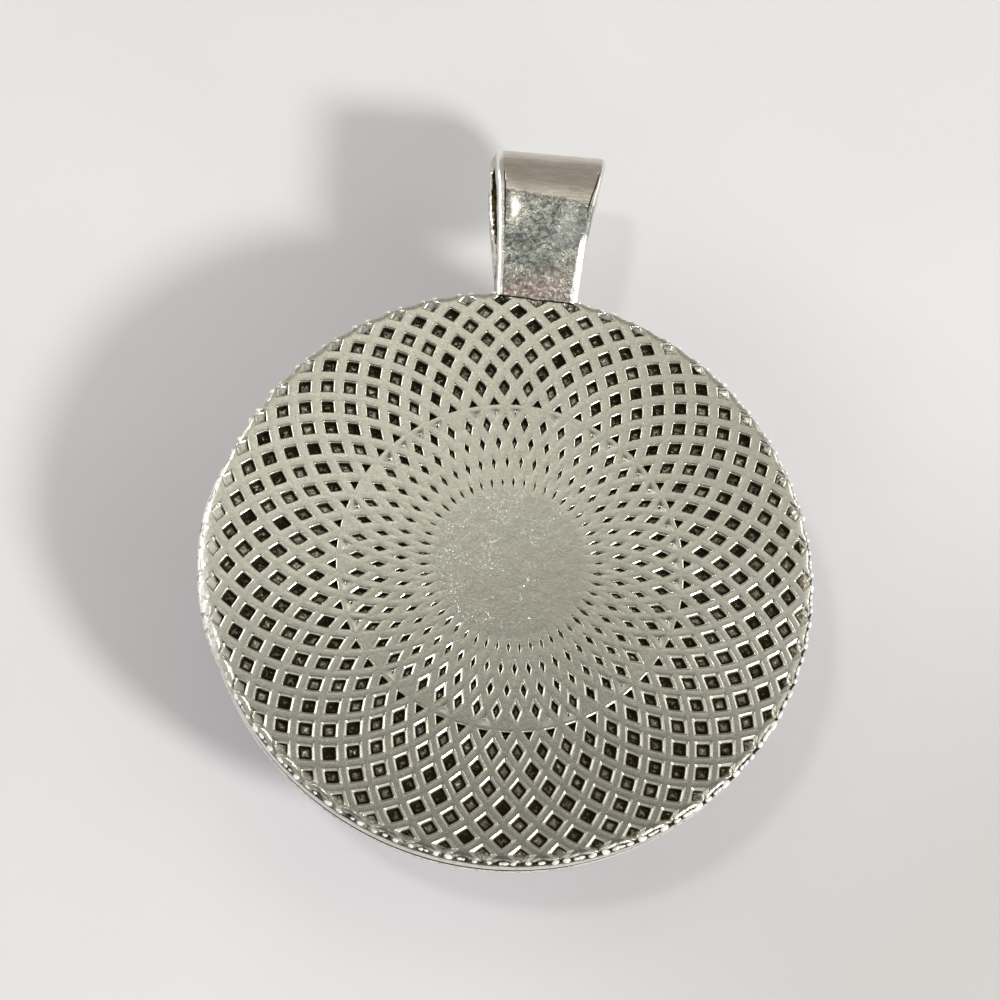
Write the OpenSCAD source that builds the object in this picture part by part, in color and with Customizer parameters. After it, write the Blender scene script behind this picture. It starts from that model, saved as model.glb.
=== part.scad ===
// Round cabochon pendant, lying face down on its dome.
// The setting is one casting: a shallow round tray whose back carries a
// rosette of crossing ridges, and a folded strap bail at the top of its rim.
// The cabochon sits in the tray and carries the pendant while it lies.
//
// Drawing frame of the modules: back face in the plane z = 0 and facing up,
// bail towards +Y, front towards -Z. pose() then stands it on the small flat
// at the top of its dome, where the pendant's weight keeps it level.

/* [Setting] */
// Outer radius of the round tray
disc_r = 14; // [13.5:0.1:15]
// Height of the tray from its back face to its front rim
tray_h = 1.85; // [1.6:0.05:2.6]
// Thickness of the plate that closes the back
plate_t = 0.9; // [0.7:0.05:1.1]
// Radius that rounds the back edge
edge_r = 0.25; // [0.15:0.05:0.4]
// Gap round the cabochon, at its side and under its base
seat_gap = 0.05; // [0.03:0.01:0.12]
// Depth of the thin groove round the outside of the rim
groove_d = 0.1; // [0.05:0.05:0.2]
// Height of that groove
groove_w = 0.2; // [0.1:0.05:0.3]

/* [Ridge pattern] */
// Number of crossing circles that make up the rosette
lobes = 50; // [30:1:60]
// Diameter of each circle, which rules how the pits grow outwards
lobe_d = 16.94; // [16.5:0.05:17.5]
// Width of a ridge
ridge_w = 0.475; // [0.4:0.025:0.6]
// Depth of the pits between the ridges
pit_d = 0.32; // [0.2:0.02:0.45]
// Outer radius of the plain band that cuts one ring of pits
band_r = 7.99; // [7.9:0.01:8.05]

/* [Bail] */
// How far the bail reaches from the centre of the tray
bail_top = 22.6; // [21.5:0.1:24]
// Thickness of the strap
strap_t = 0.85; // [0.7:0.05:1]
// Depth of the loop from back to front, outside
loop_depth = 4.2; // [3.8:0.1:5]
// Half width of the strap where it meets the tray
bail_w0 = 1.97; // [1.7:0.05:2.3]
// Half width of the strap at its middle
bail_w1 = 2.28; // [2.1:0.05:2.5]
// Half width of the strap at the fold
bail_w2 = 2.68; // [2.55:0.05:3]
// How far each side of the strap widens from back to front, in degrees
bail_flare = 2.2; // [0:0.2:6]

/* [Cabochon] */
// Radius of the cabochon's girdle
cab_r = 12.5; // [12.3:0.05:12.55]
// Whole thickness of the cabochon
cab_t = 6; // [5:0.1:7]
// Height of the straight girdle under the dome
girdle_h = 1; // [0.8:0.1:1.4]
// Radius of curvature of the flattish crown of the dome
crown_r = 42; // [34:1:60]
// Where the crown passes into the rounder shoulder, from the middle
crown_edge = 8; // [6:0.5:9]
// Radius of the flat in the middle of the crown, which it lies on
crown_flat = 2.9; // [2.2:0.1:4]

/* [Hidden] */
$fn = 96;

half_step = 180 / lobes;
ring_a0 = 76.2;
ring_count = 12;
band_ring = 4;

cab_top_z = -plate_t - seat_gap;
apex_z = cab_top_z - cab_t;
dome_h = cab_t - girdle_h;

// The dome's outline is a small flat, the crown's arc round the axis, and a
// shoulder arc from there to the girdle, which starts a little steeper.
flat_slope = asin(crown_flat / crown_r);
crown_slope = asin(crown_edge / crown_r);
crown_sag = crown_r * (cos(flat_slope) - cos(crown_slope));
crown_zc = apex_z + crown_r * cos(flat_slope);
shoulder_dr = cab_r - crown_edge;
shoulder_dz = dome_h - crown_sag;
shoulder_slope = crown_slope + 2;
shoulder_end = 2 * atan(shoulder_dz / shoulder_dr) - shoulder_slope;
shoulder_r = shoulder_dr / (sin(shoulder_end) - sin(shoulder_slope));
shoulder_x = crown_edge - shoulder_r * sin(shoulder_slope);
shoulder_z = apex_z + crown_sag + shoulder_r * cos(shoulder_slope);

// The bail's side view. Its back face stands a little above the tray.
back_z = 0.2;
fold_a = 3.2;
fold_y = bail_top - fold_a;
fold_b = loop_depth / 2;
fold_zc = back_z - fold_b;
neck_y = 15;
neck_z = -1.6;
fold_steps = 12;

// Radius of the k-th ring of crossings
function ring_r(k) = lobe_d * cos(ring_a0 - half_step * k);

// Corners of the pit inside one mesh of the lattice, ridge_w / 2 in from
// the ridges' centre lines. The pit points along +X.
function pit_inner(k) = ring_r(k - 1) + ridge_w / 2
    * norm([ring_r(k) * cos(half_step) - ring_r(k - 1), ring_r(k) * sin(half_step)])
    / (ring_r(k) * sin(half_step));
function pit_outer(k) = ring_r(k + 1) - ridge_w / 2
    * norm([ring_r(k + 1) - ring_r(k) * cos(half_step), ring_r(k) * sin(half_step)])
    / (ring_r(k) * sin(half_step));
function pit_share(k) = (pit_outer(k) - pit_inner(k)) / (ring_r(k + 1) - ring_r(k - 1));
function pit_side(k) = [
    pit_inner(k) + pit_share(k) * (ring_r(k) * cos(half_step) - ring_r(k - 1)),
    pit_share(k) * ring_r(k) * sin(half_step)];
function pit_points(k) = k == band_ring
    ? [[band_r, -pit_side(k)[1]], [pit_outer(k), 0], [band_r, pit_side(k)[1]]]
    : [[pit_inner(k), 0], [pit_side(k)[0], -pit_side(k)[1]],
       [pit_outer(k), 0], [pit_side(k)[0], pit_side(k)[1]]];

// Half ellipse over the top of the bail, grown or shrunk by a wall
function fold(inset) = [for (i = [0 : 2 * fold_steps])
    [fold_y + (fold_a - inset) * sin(180 * i / (2 * fold_steps)),
     fold_zc + (fold_b - inset) * cos(180 * i / (2 * fold_steps))]];

// Front leg from the fold down to the neck: share of the way, set in by inset
function front_leg(y0, z0, inset) = [for (s = [0.2, 0.4, 0.6, 0.8, 1])
    [fold_y + (y0 - fold_y) * s,
     (fold_zc - fold_b + inset) + (z0 - (fold_zc - fold_b + inset)) * (1 - cos(90 * s))]];

// Origin under the middle of the outline box, on the surface it lies on
module pose() {
    translate([0, (disc_r - bail_top) / 2, -apex_z])
        children();
}

module tray_profile() {
    difference() {
        union() {
            translate([0, -tray_h]) square([disc_r - edge_r, tray_h]);
            translate([0, -tray_h]) square([disc_r, tray_h - edge_r]);
            translate([disc_r - edge_r, -edge_r]) circle(edge_r);
        }
        // recess for the cabochon
        translate([-1, -tray_h - 1])
            square([cab_r + seat_gap + 1, tray_h - plate_t + 1]);
        // groove round the rim
        translate([disc_r - groove_d, -tray_h * 0.62 - groove_w])
            square([groove_d + 1, groove_w]);
    }
}

module pit(k) {
    translate([0, 0, -pit_d])
        linear_extrude(height = pit_d + 1)
            polygon(pit_points(k));
}

module tray() {
    difference() {
        rotate_extrude() tray_profile();
        for (k = [0 : ring_count])
            for (j = [0 : lobes - 1])
                rotate([0, 0, half_step * (2 * j + (k % 2))])
                    pit(k);
    }
}

// Side view of the closed strap, in the plane of Y and Z
module bail_side() {
    difference() {
        polygon(concat(
            [[13.65, -1.2], [13.65, back_z]],
            fold(0),
            front_leg(neck_y, neck_z, 0),
            [[13.65, neck_z]]));
        polygon(concat(
            [[16.1, back_z - strap_t - 0.15]],
            fold(strap_t),
            front_leg(16.1, back_z - strap_t - 0.35, strap_t)));
    }
}

// One side of the strap's outline seen from the back, kept below the curve
module bail_outline(side) {
    rotate([0, side * bail_flare, 0])
        translate([0, 0, -8])
            linear_extrude(height = 12)
                polygon([
                    [-side * 6, 13], [side * bail_w0, 13],
                    [side * bail_w0, 13.8], [side * bail_w1, 18.4],
                    [side * (bail_w1 + 0.35 * (bail_w2 - bail_w1)), 20],
                    [side * bail_w2, 21.8],
                    [side * (bail_w2 + 0.06), bail_top + 1], [-side * 6, bail_top + 1]]);
}

module bail() {
    intersection() {
        // side view's x and y become Y and Z
        translate([-6, 0, 0])
            rotate([90, 0, 90])
                linear_extrude(height = 12)
                    bail_side();
        bail_outline(1);
        bail_outline(-1);
    }
}

module setting() {
    color([0.69, 0.68, 0.62])
        pose()
            union() {
                tray();
                bail();
            }
}

// Half outline of the cabochon, radius against height
module cabochon_profile() {
    intersection() {
        translate([0, apex_z]) square([cab_r, cab_t]);
        translate([0, crown_zc]) circle(crown_r, $fn = 720);
        union() {
            translate([shoulder_x, shoulder_z]) circle(shoulder_r, $fn = 180);
            translate([0, apex_z - 1]) square([crown_edge - 0.24, cab_t + 2]);
        }
    }
}

module cabochon() {
    color([0.72, 0.62, 0.82])
        pose()
            rotate_extrude() cabochon_profile();
}

setting();
cabochon();
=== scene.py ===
import math
import random

import bmesh
import bpy
from mathutils import Matrix, Vector


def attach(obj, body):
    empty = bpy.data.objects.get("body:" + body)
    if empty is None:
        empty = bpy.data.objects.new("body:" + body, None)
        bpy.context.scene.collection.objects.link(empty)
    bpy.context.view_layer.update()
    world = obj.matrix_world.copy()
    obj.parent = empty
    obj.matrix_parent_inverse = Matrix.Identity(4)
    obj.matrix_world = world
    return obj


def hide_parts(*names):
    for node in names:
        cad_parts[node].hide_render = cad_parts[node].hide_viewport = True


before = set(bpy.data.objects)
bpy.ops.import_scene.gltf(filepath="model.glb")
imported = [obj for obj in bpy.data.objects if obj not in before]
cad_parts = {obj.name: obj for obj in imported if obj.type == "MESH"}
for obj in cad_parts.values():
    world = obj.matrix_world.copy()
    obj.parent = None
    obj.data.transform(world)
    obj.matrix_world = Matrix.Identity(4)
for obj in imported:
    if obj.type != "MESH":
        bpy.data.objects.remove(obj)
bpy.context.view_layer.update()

MM = 0.001

# ---------------------------------------------------------------- frame
# Drawing frame L: back face in z = 0 and facing up, bail towards +Y, in mm.
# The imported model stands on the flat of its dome, so row = L + a shift.
SHIFT = Vector((0.0, -4.3, 6.95))


def row(p):
    return ((p[0] + SHIFT.x) * MM, (p[1] + SHIFT.y) * MM, (p[2] + SHIFT.z) * MM)


def new_object(name, verts, faces, smooth=True):
    me = bpy.data.meshes.new(name)
    me.from_pydata(verts, [], faces)
    me.validate()
    me.update()
    if smooth:
        me.polygons.foreach_set("use_smooth", [True] * len(me.polygons))
    ob = bpy.data.objects.new(name, me)
    bpy.context.scene.collection.objects.link(ob)
    return ob


# ---------------------------------------------------------------- tray
HALF = math.radians(3.6)
LOBE_D = 16.94
RIDGE = 0.2375          # half width of a ridge
RIM_S, RIM_R = 13.72, 0.28   # where the back starts to round over, and how
T_SIDE = (0.0, 0.14, 0.5, 0.86)
rng = random.Random(7)


def ring_r(u):
    return LOBE_D * math.cos(math.radians(76.2 - 3.6 * u))


END = math.radians(1.2)      # the ridges end in pairs, this far to each side


def flute(a):
    """1 at the end of a ridge, towards 0 between two of them."""
    t = (a - HALF) % (2 * HALF)
    t = min(t, 2 * HALF - t)
    return math.exp(-((t - END) * 14 / 0.25) ** 2)


def flare(a):
    """How much wider than round the edge is, on the right."""
    return 0.085 * math.exp(-((a + 0.05) / 0.85) ** 2)


def chamfer(a):
    """1 along the left edge, which is worn to a broad chamfer; its white is partly wear, partly painted highlight."""
    left = abs((a - math.radians(188) + math.pi) % (2 * math.pi) - math.pi)
    return math.exp(-(left / 0.36) ** 4)


def onto(x, y, depth):
    """Point of the flat drawing, laid over the back and its rounded edge."""
    s = math.hypot(x, y)
    if s < 1e-9:
        return (0.0, 0.0, -depth)
    c, d = x / s, y / s
    ch = 0.0
    if s > 13.66:
        ch = chamfer(math.atan2(y, x))
    if s > 13.76:
        a = math.atan2(y, x)
        scallop = 0.085 + 0.045 * max(0.0, math.cos(a - 0.85))
        depth += scallop * (1 - ch) * (1 - flute(a)) * min(1.0, (s - 13.76) / 0.28)
    if s <= RIM_S:
        r, z, nr, nz = s, 0.0, 0.0, 1.0
    elif s <= RIM_S + RIM_R * math.pi / 2:
        a = (s - RIM_S) / RIM_R
        r, z = RIM_S + RIM_R * math.sin(a), -RIM_R * (1 - math.cos(a))
        nr, nz = math.sin(a), math.cos(a)
    else:
        r, z = RIM_S + RIM_R, -RIM_R - (s - RIM_S - RIM_R * math.pi / 2)
        nr, nz = 1.0, 0.0
    if ch > 0.01:
        u = max(0.0, s - 13.97) * 1.36
        r += ch * (min(s, 13.97) + u - r)
        z += ch * (-0.74 * u - z)
        t = min(1.0, u / 0.05) * 0.59
        nr += ch * (t - nr)
        nz += ch * (math.sqrt(1 - t * t) - nz)
    r -= depth * nr
    z -= depth * nz
    if s > 13.66:
        r += flare(math.atan2(y, x)) * min(1.0, (s - 13.66) / 0.42)
    return (r * c, r * d, z)


class Net:
    """Vertices of one mesh, with shared corners found by their place."""

    def __init__(self):
        self.v, self.f = [], []
        self.dark, self.rand, self.worn, self.mid, self.frost_and_glint = [], [], [], [], []
        self.at = {}

    def add(self, p, dark=0.0, rand=0.5, worn=0.0, mid=0.0):
        self.v.append(p)
        self.dark.append(dark)
        self.rand.append(rand)
        self.worn.append(worn)
        self.mid.append(mid)
        self.frost_and_glint.append(0.0)
        return len(self.v) - 1

    def shared(self, x, y, depth=0.0):
        key = (round(x * 2000), round(y * 2000))
        for kx in (0, -1, 1):
            for ky in (0, -1, 1):
                i = self.at.get((key[0] + kx, key[1] + ky))
                if i is not None:
                    return i
        # the ridges' ends stand up as small beads along the edge
        s = math.hypot(x, y)
        bead = math.exp(-((s - 13.97) / 0.13) ** 2) * rng.uniform(0.3, 1.0)
        i = self.add(onto(x, y, depth - 0.030 * bead), worn=min(0.7, bead))
        self.at[key] = i
        return i


net = Net()


def polar(r, a):
    return (r * math.cos(a), r * math.sin(a))


def lerp(a, b, t):
    return (a[0] + (b[0] - a[0]) * t, a[1] + (b[1] - a[1]) * t)


def inset_corners(c, d):
    """Corners of the polygon moved in by d[i] from its side i (i to i + 1)."""
    n = len(c)
    lines = []
    for i in range(n):
        ax, ay = c[i]
        bx, by = c[(i + 1) % n]
        ex, ey = bx - ax, by - ay
        ln = math.hypot(ex, ey)
        nx, ny = -ey / ln, ex / ln
        lines.append((ax + nx * d[i], ay + ny * d[i], ex / ln, ey / ln))
    out = []
    for i in range(n):
        px, py, ex, ey = lines[i - 1]
        qx, qy, fx, fy = lines[i]
        det = ex * (-fy) - ey * (-fx)
        t = ((qx - px) * (-fy) - (qy - py) * (-fx)) / det
        out.append((px + ex * t, py + ey * t))
    return out


def strip(a, b):
    n = len(a)
    for i in range(n):
        j = (i + 1) % n
        q = (a[i], a[j], b[j], b[i])
        if len(set(q)) >= 3:
            net.f.append(tuple(dict.fromkeys(q)))


def cap(loop, centre):
    n = len(loop)
    for i in range(n):
        net.f.append((loop[i], loop[(i + 1) % n], centre))


def cell_corners(k, phi):
    return [polar(ring_r(k - 1), phi), polar(ring_r(k), phi - HALF),
            polar(ring_r(k + 1), phi), polar(ring_r(k), phi + HALF)]


def side_points(k, phi, side):
    """Points along one curved side of a cell, its first corner included."""
    out = []
    for t in T_SIDE:
        if side == 0:
            u, a = k - 1 + t, phi - HALF * t
        elif side == 1:
            u, a = k + t, phi - HALF * (1 - t)
        elif side == 2:
            u, a = k + 1 - t, phi + HALF * t
        else:
            u, a = k - t, phi + HALF * (1 - t)
        out.append(polar(ring_r(u), a))
    return out


def steps(edge, room, depth, at):
    """(distance from the centre line, depth, dark, worn) down a pit's wall.

    The upper edges are worn broad low and on the right, less at the top."""
    v = min(1.0, max(0.0, (5.0 - 0.9 * at[1] + 0.25 * at[0]) / 12.0))
    w = max(0.20, min(1.0, room / 0.17)) * (0.46 + 0.54 * v * v * (3 - 2 * v))
    return [
        (edge - 0.126 * w, 0.000, 0.00, 0.00),
        (edge - 0.113 * w, 0.001 * w, 0.00, 0.00),
        (edge - 0.093 * w, 0.013 * w, 0.00, 0.15),
        (edge - 0.030 * w, 0.056 * w, 0.00, 0.30),
        (edge - 0.002 * w, 0.080 * w, 0.00, 0.25),
        (edge + 0.022 * w, 0.50 * depth, 0.45, 0.05),
        (edge + 0.044 * w, 0.97 * depth, 1.00, 0.00),
    ]


def quad_pit(k, j):
    phi = HALF * (2 * j + (k % 2))
    corners = cell_corners(k, phi)
    sides = [side_points(k, phi, s) for s in range(4)]
    outer = [net.shared(*p) for s in sides for p in s]
    ax = (corners[2][0] - corners[0][0], corners[2][1] - corners[0][1])
    half_l = math.hypot(*ax) / 2
    half_w = ring_r(k) * math.sin(HALF)
    apothem = half_l * half_w / math.hypot(half_l, half_w)
    edge = RIDGE + rng.gauss(0, 0.006)
    depth = 0.29
    if k == 0:
        edge, depth = 0.186 + rng.gauss(0, 0.006), 0.11
    elif k == 1:
        edge, depth = 0.212 + rng.gauss(0, 0.005), 0.20
    elif k == 2:
        depth = 0.26
    edge = min(edge, apothem - 0.03)
    depth *= rng.uniform(0.86, 1.06)
    skew = [rng.gauss(0, 0.006) for _ in range(4)]
    rand = rng.random()
    if rng.random() < 0.16:
        rand = 0.85 + 0.15 * rand
    shallow = k == 11
    near = 0.0
    if shallow:
        # the outermost pits are open and pale, but for those beside the bail
        near = min(1.0, max(0.0, 1.6 - abs(math.degrees(phi) - 90) / 11))
        depth = 0.25
        left, right = max(0.0, -math.cos(phi)), max(0.0, math.cos(phi))
        pale = 0.37 - 0.17 * math.sin(phi) - 0.12 * left + 0.16 * right + rng.gauss(0, 0.03)
        # floors whitened towards the upper left: painted highlight
        floor_whitening = (0.08 + 0.30 * max(0.0, math.cos(phi - 2.2))) * (1 - near)
    sharp = 0.026 if k > 3 else 0.012
    prev = outer
    for n, (d, z, dark, worn) in enumerate(steps(edge, apothem - edge, depth, polar(ring_r(k), phi))):
        d = min(d, apothem * 0.94)
        cc = inset_corners(corners, [d + skew[i] for i in range(4)])
        loop = []
        for q in range(4):
            a, b = cc[q], cc[(q + 1) % 4]
            full = math.dist(corners[q], corners[(q + 1) % 4])
            share = (math.dist(a, b) / full) ** 2
            # round this corner
            pa, pb = cc[q - 1], cc[(q + 1) % 4]
            v1 = Vector((pa[0] - a[0], pa[1] - a[1]))
            v2 = Vector((pb[0] - a[0], pb[1] - a[1]))
            beta = v1.angle(v2) / 2 if v1.length > 1e-6 and v2.length > 1e-6 else 0.8
            side = min(v1.length, v2.length)
            inr = min(sharp * (1 / max(math.sin(beta), 0.1) - 1), 0.62 * 0.14 * side * math.cos(beta))
            bis = (v1.normalized() + v2.normalized()).normalized() if side > 1e-6 else Vector((0, 0))
            for i, t in enumerate(T_SIDE):
                p = lerp(a, b, t)
                base = lerp(corners[q], corners[(q + 1) % 4], t)
                dev = (sides[q][i][0] - base[0], sides[q][i][1] - base[1])
                x, y = p[0] + dev[0] * share, p[1] + dev[1] * share
                if i == 0:
                    x, y = x + bis.x * inr, y + bis.y * inr
                zz, dk = z, dark
                if shallow and n >= 4:
                    s = math.hypot(x, y)
                    f = min(1.0, max(0.0, (s - 13.34) / 0.50))
                    zz = z * (1.0 - 0.80 * f) if n >= 5 else z * (1 - 0.4 * f)
                    dk = dark * max(0.15, 1.0 - 1.15 * f)
                loop.append(net.add(onto(x, y, zz), dk, rand, worn))
        strip(prev, loop)
        prev = loop
        last = cc
    cx, cy = (sum(c[0] for c in last) / 4, sum(c[1] for c in last) / 4)
    rise = rng.uniform(0.0, 0.035)
    ring = []
    for q in range(4 if k > 2 else 0):
        a, b = last[q], last[(q + 1) % 4]
        for i, t in enumerate(T_SIDE):
            p = lerp(a, b, t)
            x, y = lerp((cx, cy), p, 0.60)
            z, dk, md = depth * 0.99 - rise * 0.6, 0.96, 0.55
            if shallow:
                f = min(1.0, max(0.0, (math.hypot(x, y) - 13.34) / 0.50))
                fd = min(1.0, max(0.0, (math.hypot(x, y) - 13.45 - 0.05 * right) / 0.30))
                crease = (1.15 - 1.7 * fd) * (1 - 0.72 * left)
                z, dk, md = depth * (0.98 - 0.80 * f), max(near, pale, crease), 1.0
            ring.append(net.add(onto(x, y, z), dk, rand, 0.0, md))
            if shallow:
                net.frost_and_glint[-1] = floor_whitening * fd
    if ring:
        strip(prev, ring)
    else:
        ring = prev
    z, dk = depth - rise, 0.92
    if shallow:
        z, dk = depth * (0.50 + 0.36 * right), max(near, pale + 0.03)
    cap(ring, net.add(onto(cx, cy, z), dk, rand, 0.0, 1.0))
    if shallow:
        net.frost_and_glint[-1] = floor_whitening


def band_pit(j):
    """Ring 4: a triangle outside the plain band, and a trace of a pit in it."""
    k = 4
    phi = HALF * (2 * j)
    corners = cell_corners(k, phi)
    s = [side_points(k, phi, i) for i in range(4)]
    left, right = s[3][1], s[0][3]       # where the chord meets the sides
    chord = [lerp(left, right, t) for t in (0.25, 0.5, 0.75)]
    # outer triangle
    bound = [right] + s[1] + s[2] + [s[3][0], left] + chord
    # s[1] starts at the right corner, s[2] at the outer corner, s[3] at the left one
    outer = [net.shared(*p) for p in bound]
    edge0 = RIDGE + rng.gauss(0, 0.005)
    depth = 0.26 * rng.uniform(0.85, 1.05)
    rand = rng.random()
    c, sn = math.cos(phi), math.sin(phi)

    def tri(d, base):
        cc = inset_corners(corners, [d] * 4)
        # side 1 runs from corner 1 to corner 2, side 2 from 2 to 3
        apex = cc[2]
        ax = apex[0] * c + apex[1] * sn
        ay = -apex[0] * sn + apex[1] * c
        bx = cc[1][0] * c + cc[1][1] * sn
        by = -cc[1][0] * sn + cc[1][1] * c
        # width of the triangle where it meets the base line
        f = (base - ax) / (bx - ax)
        w = abs(ay + (by - ay) * f)
        return (ax, w)

    prev = outer
    for n, (d, z, dark, worn) in enumerate(steps(edge0, 0.10, depth, polar(8.3, phi))):
        base = 8.0 - (edge0 - d)
        ax, w = tri(d, base)
        pts = [(base, -w * 0.90), (base + 0.02, -w)]
        for t in T_SIDE[1:]:
            pts.append((base + (ax - base) * t, -w * (1 - t)))
        pts.append((ax - 0.02, 0.0))
        for t in T_SIDE[1:]:
            t = 1 - t
            pts.append((base + (ax - base) * t, w * (1 - t)))
        pts[6:9] = [(base + (ax - base) * t, w * (1 - t)) for t in (0.86, 0.5, 0.14)]
        pts += [(base + 0.02, w), (base, w * 0.90), (base, w * 0.5), (base, 0.0), (base, -w * 0.5)]
        loop = []
        for px, py in pts:
            loop.append(net.add(onto(px * c - py * sn, px * sn + py * c, z), dark, rand, worn))
        strip(prev, loop)
        prev, last = loop, (base, ax, w)
    base, ax, w = last
    mx = base + (ax - base) * 0.36
    cap(prev, net.add(onto(mx * c, mx * sn, depth), 0.95, rand, 0.0, 0.6))
    # inner part, plain or with a small dot
    inner = [s[0][0], s[0][1], s[0][2], s[0][3]] + chord[::-1] + [s[3][1], s[3][2], s[3][3]]
    outer = [net.shared(*p) for p in inner]
    dx = 7.56 + rng.gauss(0, 0.02)
    if rng.random() < 0.72:
        prev = outer
        size = rng.uniform(0.7, 1.15)
        dep = rng.uniform(0.4, 1.0)
        for rad, z, dark, worn in ((0.085, 0.0, 0.0, 0.3), (0.062, 0.014, 0.25, 0.9), (0.040, 0.07, 0.9, 0.1)):
            loop = []
            for px, py in inner:
                lx, ly = px * c + py * sn - dx, -px * sn + py * c
                a = math.atan2(ly, lx)
                x, y = dx + rad * size * 1.25 * math.cos(a), rad * size * 0.85 * math.sin(a)
                loop.append(net.add(onto(x * c - y * sn, x * sn + y * c, z * dep), dark * dep, 0.3, worn * 0.6))
            strip(prev, loop)
            prev = loop
        cap(prev, net.add(onto(dx * c, dx * sn, 0.10 * dep), 0.95 * dep, 0.3, 0.0))
    else:
        cap(outer, net.add(onto(dx * c, dx * sn, 0.0)))


ARC = 8


def notch(j):
    """Ring 12: the half pit that opens over the rounded edge."""
    k = 12
    phi = HALF * (2 * j)
    corners = cell_corners(k, phi)
    s0, s3 = side_points(k, phi, 0), side_points(k, phi, 3)
    rim = ring_r(k)
    arc = [polar(rim, phi - HALF + 2 * HALF * i / ARC) for i in range(1, ARC)]
    bound = s0 + [corners[1]] + arc + [corners[3]] + s3[1:]
    outer = [net.shared(*p) for p in bound]
    edge = RIDGE - 0.01 + rng.gauss(0, 0.006)
    depth = 0.19 * rng.uniform(0.85, 1.15)
    faint = 1 - 0.93 * chamfer(phi if phi <= math.pi else phi - 2 * math.pi) ** 0.5
    rand = rng.random()
    prev = outer
    c, sn = math.cos(phi), math.sin(phi)
    for n, (d, z, dark, worn) in enumerate(steps(edge, 0.09, depth, polar(13.9, phi))):
        cc = inset_corners(corners, [d] * 4)
        end = rim - 0.02 - 0.25 * d
        tip = cc[0][0] * c + cc[0][1] * sn
        sx = cc[1][0] * c + cc[1][1] * sn
        sy = abs(-cc[1][0] * sn + cc[1][1] * c)
        slope = sy / (sx - tip)
        w = min(slope * (end - tip), sy * 1.02)
        pts = []
        for t in T_SIDE:
            pts.append((tip + (end - tip) * t + (0.02 if t == 0 else 0), -w * t))
        for i in range(ARC + 1):
            pts.append((end, -w + 2 * w * i / ARC))
        for t in (0.86, 0.5, 0.14):
            pts.append((tip + (end - tip) * t, w * t))
        loop = []
        for px, py in pts:
            f = min(1.0, max(0.0, (px - 13.85) / 0.35))
            loop.append(net.add(onto(px * c - py * sn, px * sn + py * c, z * (1 - 0.30 * f) * faint),
                                dark * (1 - 0.30 * f) * faint, rand, worn))
        strip(prev, loop)
        prev, last = loop, (tip, end, w)
    mx = last[0] + (last[1] - last[0]) * 0.62
    cap(prev, net.add(onto(mx * c, mx * sn, depth * 0.8 * faint), 0.75 * faint, rand, 0.0, 0.5))
    return outer[4:4 + ARC + 1]


rim_loop = []
for k in range(12):
    for j in range(50):
        if k == 4:
            band_pit(j)
        else:
            quad_pit(k, j)
for j in range(50):
    arc = notch(j)
    rim_loop += arc[:-1]

# plain disc in the middle: its zigzag edge, then rings that halve
zig = []
for j in range(50):
    phi = HALF * 2 * j
    a = side_points(0, phi, 3)      # from the left corner to the inner one
    zig.append(net.shared(*polar(ring_r(-1), phi)))
    for p in (a[3], a[2], a[1]):
        zig.append(net.shared(*p))
    zig.append(net.shared(*a[0]))
    b = side_points(0, phi + 2 * HALF, 0)
    for p in (b[3], b[2], b[1]):
        zig.append(net.shared(*p))
angles = [math.atan2(net.v[i][1], net.v[i][0]) for i in zig]


def bowl(r):
    """The plain disc is a touch uneven, as a hand-finished model leaves it, but this returns 0 and is not called, so
    the disc is drawn flat.
    """
    return 0.0


prev = zig
ring = [net.add(onto(2.75 * math.cos(a), 2.75 * math.sin(a), 0.0)) for a in angles]
strip(ring, prev[:])
prev = ring
for r in (2.2, 1.65, 1.1, 0.6):
    half = prev[::2]
    ring = []
    for i in half:
        a = math.atan2(net.v[i][1], net.v[i][0])
        ring.append(net.add(onto(r * math.cos(a), r * math.sin(a), 0.0)))
    n, m = len(prev), len(ring)
    for i in range(m):
        p0, p1, p2 = prev[2 * i], prev[(2 * i + 1) % n], prev[(2 * i + 2) % n]
        r0, r1 = ring[i], ring[(i + 1) % m]
        net.f.append((p0, p1, r0))
        net.f.append((p1, p2, r1))
        net.f.append((p1, r1, r0))
    prev = ring
cap(prev, net.add(onto(0, 0, 0)))

# wall, groove, lip, recess
rim_a = [math.atan2(net.v[i][1], net.v[i][0]) for i in rim_loop]
PH = [rng.uniform(0, 2 * math.pi) for _ in range(24)]


def wave(a, i):
    """Slow uneven swing round the rim, -1 to 1."""
    return (0.45 * math.sin(3 * a + PH[i]) + 0.30 * math.sin(7 * a + PH[i + 1])
            + 0.25 * math.sin(17 * a + PH[i + 2]))


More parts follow.
